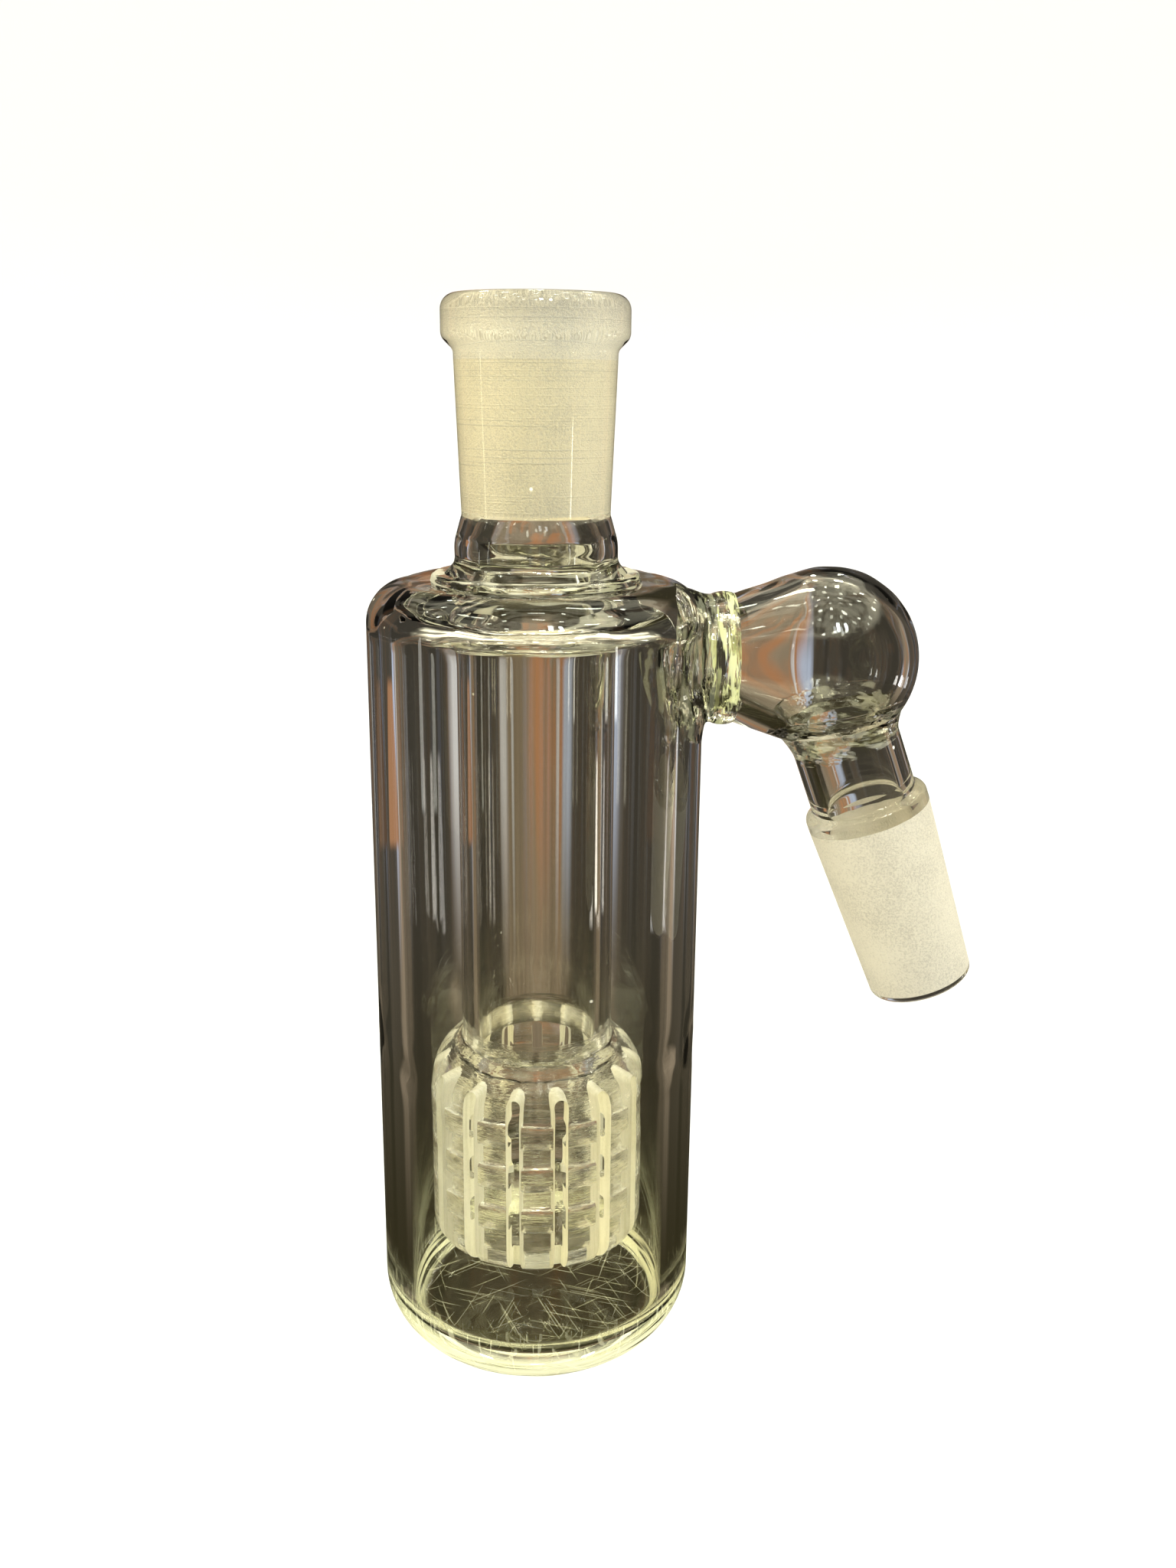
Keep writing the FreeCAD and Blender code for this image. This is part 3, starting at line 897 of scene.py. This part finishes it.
def makeLinkWeld():
    tube = measure("link_tube", linkPlace)
    foot, ring, bore = linkDims["foot"], tube["radius"], tube["bore"]
    span, depth = linkDims["weldSpan"], linkDims["weldDepth"]
    cove = [(ring + (foot - ring) * (1 - n / 8) ** 2.6, span * n / 8) for n in range(1, 8)]
    corners = [(bore, -depth), (foot, -depth), (foot, 0)] + cove + [(ring, span), (bore, span)]
    last = len(corners) - 2
    bm = spinGlass(corners, {(1, 2): seam, (last, last + 1): seam}, 0.35)
    ball = linkPlace.inverted() @ Vector((measure("bulb", armPlace)["high"] - armDims["bulb"], 0, armHeight))

    def hug(local, p):
        flat = (local.x - ball.x) ** 2 + (local.y - ball.y) ** 2
        skin = ball.z + sqrt(max(0.0, armDims["bulb"] ** 2 - flat))
        if local.z <= 0:
            inner = ball.z + sqrt(max(0.0, (armDims["bulb"] - armDims["bulbWall"]) ** 2 - flat))
            at = skin + (inner - skin) * -local.z / depth
        else:
            share = local.z / span
            at = skin + (tube["low"] - skin) * share
        return linkPlace @ Vector((local.x, local.y, at))

    return finish("linkWeld", bm, linkPlace, linkWeldSlots, ["link_weld"], hug)


def makeLinkTube():
    m = measure("link_tube", linkPlace)
    bm = spinGlass(tubeCorners(m, m["bore"], m["radius"]), {(0, 1): seam, (2, 3): seam}, 0.6)
    return finish("linkTube", bm, linkPlace, plainSlots, ["link_tube"])


def makeJointShoulder():
    m = measure("joint_shoulder", linkPlace)
    tube = measure("link_tube", linkPlace)
    cone = measure("ground_cone", linkPlace)
    corners = [
        (tube["bore"], m["low"]),
        (tube["radius"], m["low"]),
        (tube["radius"] + 0.02, m["low"] + 0.75, 0.8, 5),
        (m["radius"], m["low"] + 1.5, 0.9, 8),
        (m["radius"], m["high"]),
        (cone["bore"], m["high"]),
    ]
    bm = spinGlass(corners, {(0, 1): seam, (4, 5): seam}, 0.4)
    return finish("jointShoulder", bm, linkPlace, plainSlots, ["joint_shoulder"])


def makeCone():
    m = measure("ground_cone", linkPlace)
    tip = measure("joint_tip", linkPlace)
    corners = [
        (m["bore"], m["low"]),
        (m["radius"], m["low"]),
        (tip["radius"], m["high"]),
        (m["bore"], m["high"]),
    ]
    bm = spinGlass(corners, {(0, 1): seam, (1, 2): ground, (2, 3): seam}, 1.0)
    return finish("groundCone", bm, linkPlace, coneSlots, ["ground_cone"])


def makeTip():
    m = measure("joint_tip", linkPlace)
    corners = [
        (m["bore"], m["low"]),
        (m["radius"], m["low"]),
        (m["radius"] - 0.02, m["high"], 0.85, 8),
        (m["bore"], m["high"], 0.3, 4),
    ]
    bm = spinGlass(corners, {(0, 1): seam}, 0.4)
    return finish("firePolishedTip", bm, linkPlace, coneSlots, ["joint_tip"])


makeRim()
makeBarrel()
makeNeck()
makeNeckSeal()
print("socket and neck turned")
makeShoulder()
makeWall()
makeBase()
print("can turned")
makeDowntube()
makePercolator()
print("percolator sawn")
makeArmWeld()
makeCollar()
makeBulb()
makeLinkWeld()
makeLinkTube()
makeJointShoulder()
makeCone()
makeTip()
print("arm joined")

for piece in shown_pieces():
    piece.visible_shadow = False  # light reaches the pieces inside the can


studio = {
    "floorColour": (0.42, 0.419, 0.413, 1),
    "floorGlow": 0.50,
    "below": (0.034, 0.029, 0.013, 1),
    "mist": (0.050, 0.045, 0.036, 1),
    "haze": (0.35, 0.28, 0.195, 1),
    "warm": (0.50, 0.235, 0.11, 1),
    "ceiling": (2.0, 1.9, 1.4, 1),
    "lamps": (24.0, 24.5, 20.0, 1),
    # of the room's bright strips: turn and half width, from and to height, colour
    "windows": (
        (-0.145, 0.024, (-1.60, -0.80), (0.78, 0.80, 0.84, 1)),
        (-0.095, 0.006, (-1.60, -0.80), (0.70, 0.72, 0.74, 1)),
        (0.085, 0.008, (-1.60, -0.80), (0.74, 0.76, 0.80, 1)),
        (0.135, 0.028, (-1.60, -0.80), (0.56, 0.66, 0.88, 1)),
    ),
    "windowPitch": pi / 3,
    "glints": (
        (2.20, 0.02, (-0.85, -0.25), (14, 14, 13, 1)),
        (1.35, 0.070, (-1.42, -0.92), (5.0, 4.9, 4.8, 1)),
        (1.14, 0.060, (-1.38, -0.92), (4.6, 4.5, 4.4, 1)),
        (-1.70, 0.03, (-1.10, 0.20), (4.0, 4.0, 3.6, 1)),
        (-0.82, 0.14, (-1.20, -0.70), (0.44, 0.22, 0.11, 1)),
    ),
}


def makeFloor():
    bm = bmesh.new()
    reach, bend, low, high = 0.9, 0.7, -0.0002, 2.4
    line = [Vector((0, low)), Vector((reach, low))]
    for n in range(1, 13):
        turn = pi / 2 * n / 12
        line.append(Vector((reach + bend * sin(turn), low + bend - bend * cos(turn))))
    line.append(Vector((reach + bend, high)))
    verts = [bm.verts.new((p.x, 0, p.y)) for p in line]
    edges = [bm.edges.new(pair) for pair in zip(verts, verts[1:])]
    bmesh.ops.spin(
        bm, geom=verts + edges, cent=(0, 0, 0), axis=(0, 0, 1), angle=2 * pi, steps=64, use_merge=True
    )
    bmesh.ops.remove_doubles(bm, verts=bm.verts, dist=1e-5)
    bmesh.ops.recalc_face_normals(bm, faces=bm.faces)
    bmesh.ops.reverse_faces(bm, faces=bm.faces)
    mesh = bpy.data.meshes.new("sweep")
    bm.to_mesh(mesh)
    bm.free()
    mesh.polygons.foreach_set("use_smooth", [True] * len(mesh.polygons))
    sweep = bpy.data.objects.new("paleSweep", mesh)
    bpy.context.collection.objects.link(sweep)
    material, tree, shader, coords = startMaterial("pale_paper")
    shader.inputs["Base Color"].default_value = studio["floorColour"]
    shader.inputs["Roughness"].default_value = 0.9
    shader.inputs["Specular IOR Level"].default_value = 0.1
    shader.inputs["Emission Color"].default_value = (1, 0.995, 0.98, 1)
    shader.inputs["Emission Strength"].default_value = studio["floorGlow"]
    mesh.materials.append(material)
    sweep.visible_glossy = False
    sweep.visible_transmission = False
    sweep.visible_shadow = False


def makeRoom():
    # the dim room that the glass bends and mirrors, with tall windows round it
    bm = bmesh.new()
    bmesh.ops.create_uvsphere(bm, u_segments=64, v_segments=32, radius=4)
    bmesh.ops.reverse_faces(bm, faces=bm.faces)
    mesh = bpy.data.meshes.new("room")
    bm.to_mesh(mesh)
    bm.free()
    room = bpy.data.objects.new("dimRoom", mesh)
    bpy.context.collection.objects.link(room)
    material = bpy.data.materials.new("dim_room")
    material.use_nodes = True
    tree = material.node_tree
    tree.nodes.remove(tree.nodes["Principled BSDF"])
    coords = Wire(tree).make("ShaderNodeTexCoord", output=3)
    x, y, z = coords.parts()
    angle = x.sum("ARCTAN2", x, y)
    half = studio["windowPitch"] / 2
    turned = angle.wrap(-half, half)
    middle = 1 - turned.size().between(0.10, 0.19)
    wide = grain(coords.make("ShaderNodeCombineXYZ", i_0=angle * 14.0, i_1=z * 0.5, i_2=0.0), 1.0, 3.0, 0.6)
    fine = grain(coords.make("ShaderNodeCombineXYZ", i_0=angle * 60.0, i_1=z * 0.6, i_2=0.0), 1.0, 2.0, 0.5)
    colour = z.between(-2.3, -1.1).mixWith(studio["below"], studio["mist"])
    colour = (middle * z.between(-2.3, -1.5) * (fine * 0.8 + 0.4)).mixWith(colour, studio["haze"])
    upper = z.between(-1.65, -0.85)
    colour = (wide.between(0.47, 0.62) * middle * upper * (fine + 0.3)).mixWith(colour, studio["warm"])
    for place, width, (low, high), tone in studio["windows"]:
        pulse = 1 - (turned - place).size().between(width * 0.45, width * 1.3)
        top = 1 - z.between(high + 0.05, high + 0.45) * 0.75
        height = z.between(low, low + 0.7) * top * (1 - z.between(0.5, 1.1))
        colour = (pulse * height * (fine * 0.7 + 0.5)).mixWith(colour, tone)
    for place, width, (low, high), tone in studio["glints"]:
        # wider towards the foot, with a round end
        taper = z.between(low, high + 0.2) * width * 0.6
        pulse = 1 - ((angle - place).size() + taper).between(width * 0.8, width)
        height = z.between(low, low + 0.04) * (1 - z.between(high - 0.05, high))
        colour = (pulse * height).mixWith(colour, tone)
    patches = grain(coords, 1.3, 2.0).between(0.40, 0.55)
    colour = (z.between(2.2, 2.8) * (patches * 0.85 + 0.15)).mixWith(colour, studio["ceiling"])
    squares = 1 - x.wrap(-0.45, 0.45).size().between(0.10, 0.12)
    squares = squares * (1 - y.wrap(-0.7, 0.7).size().between(0.08, 0.1))
    colour = (z.between(2.6, 2.7) * squares).mixWith(colour, studio["lamps"])
    light = tree.nodes.new("ShaderNodeEmission")
    tree.links.new(colour.socket, light.inputs[0])
    tree.links.new(light.outputs[0], tree.nodes["Material Output"].inputs[0])
    mesh.materials.append(material)
    room.visible_camera = False
    room.visible_diffuse = False
    room.visible_shadow = False


# each lamp's place, width and height, power, colour
lighting = {
    "sky": ((1, 0.99, 0.97, 1), 0.68),
    "aim": (0.005, 0, 0.06),
    "boxes": {
        "keyBox": ((-0.90, -0.30, 0.60), (0.35, 0.35), 12.0, (1.0, 0.93, 0.72)),
        "fillBox": ((0.95, -0.15, 0.45), (0.3, 0.3), 7.5, (1.0, 0.98, 0.90)),
        "backBox": ((0.1, 0.9, 0.8), (0.35, 0.35), 5.0, (1.0, 0.97, 0.86)),
    },
    "tubes": {
        "twinTube-1": ((0.16 - 0.075, -0.6, 0.8), (0.06, 0.2), 1.5, (0.93, 1.0, 1.0)),
        "twinTube1": ((0.16 + 0.075, -0.6, 0.8), (0.06, 0.2), 1.5, (0.93, 1.0, 1.0)),
    },
}


def addLamp(name, place, size, power, colour):
    lamp = bpy.data.lights.new(name, "AREA")
    lamp.energy = power
    lamp.color = colour
    lamp.shape = "RECTANGLE"
    lamp.size, lamp.size_y = size
    item = bpy.data.objects.new(name, lamp)
    item.location = place
    item.rotation_euler = (Vector(lighting["aim"]) - Vector(place)).to_track_quat("-Z", "Y").to_euler()
    bpy.context.collection.objects.link(item)
    return item


def makeLight():
    world = bpy.data.worlds.new("soft_world")
    bpy.context.scene.world = world
    world.use_nodes = True
    sky = world.node_tree.nodes["Background"]
    sky.inputs[0].default_value, sky.inputs[1].default_value = lighting["sky"]
    world.cycles_visibility.glossy = False
    world.cycles_visibility.transmission = False
    for name, setting in lighting["boxes"].items():
        box = addLamp(name, *setting)
        box.visible_transmission = False
        box.visible_glossy = False
    for name, setting in lighting["tubes"].items():
        addLamp(name, *setting)
    scene = bpy.context.scene
    scene.view_settings.view_transform = "Standard"
    bounces = 24
    scene.cycles.max_bounces = bounces
    scene.cycles.transmission_bounces = bounces
    scene.cycles.transparent_max_bounces = bounces


cameraSetup = {"place": (0, -0.1627, 0.1161), "down": 15.76, "yaw": 2.11, "roll": 0.49, "lens": 33.35}


def makeCamera():
    camera = bpy.data.cameras.new("camera")
    camera.lens = cameraSetup["lens"]
    camera.sensor_width = 36
    camera.clip_start = 0.005
    item = bpy.data.objects.new("camera", camera)
    turn = Matrix.Rotation(radians(-cameraSetup["yaw"]), 4, "Z")
    turn = turn @ Matrix.Rotation(radians(90 - cameraSetup["down"]), 4, "X")
    turn = turn @ Matrix.Rotation(radians(cameraSetup["roll"]), 4, "Z")
    item.matrix_world = Matrix.Translation(cameraSetup["place"]) @ turn
    bpy.context.collection.objects.link(item)
    bpy.context.scene.camera = item


makeFloor()
makeRoom()
makeLight()
makeCamera()
print("studio lit")
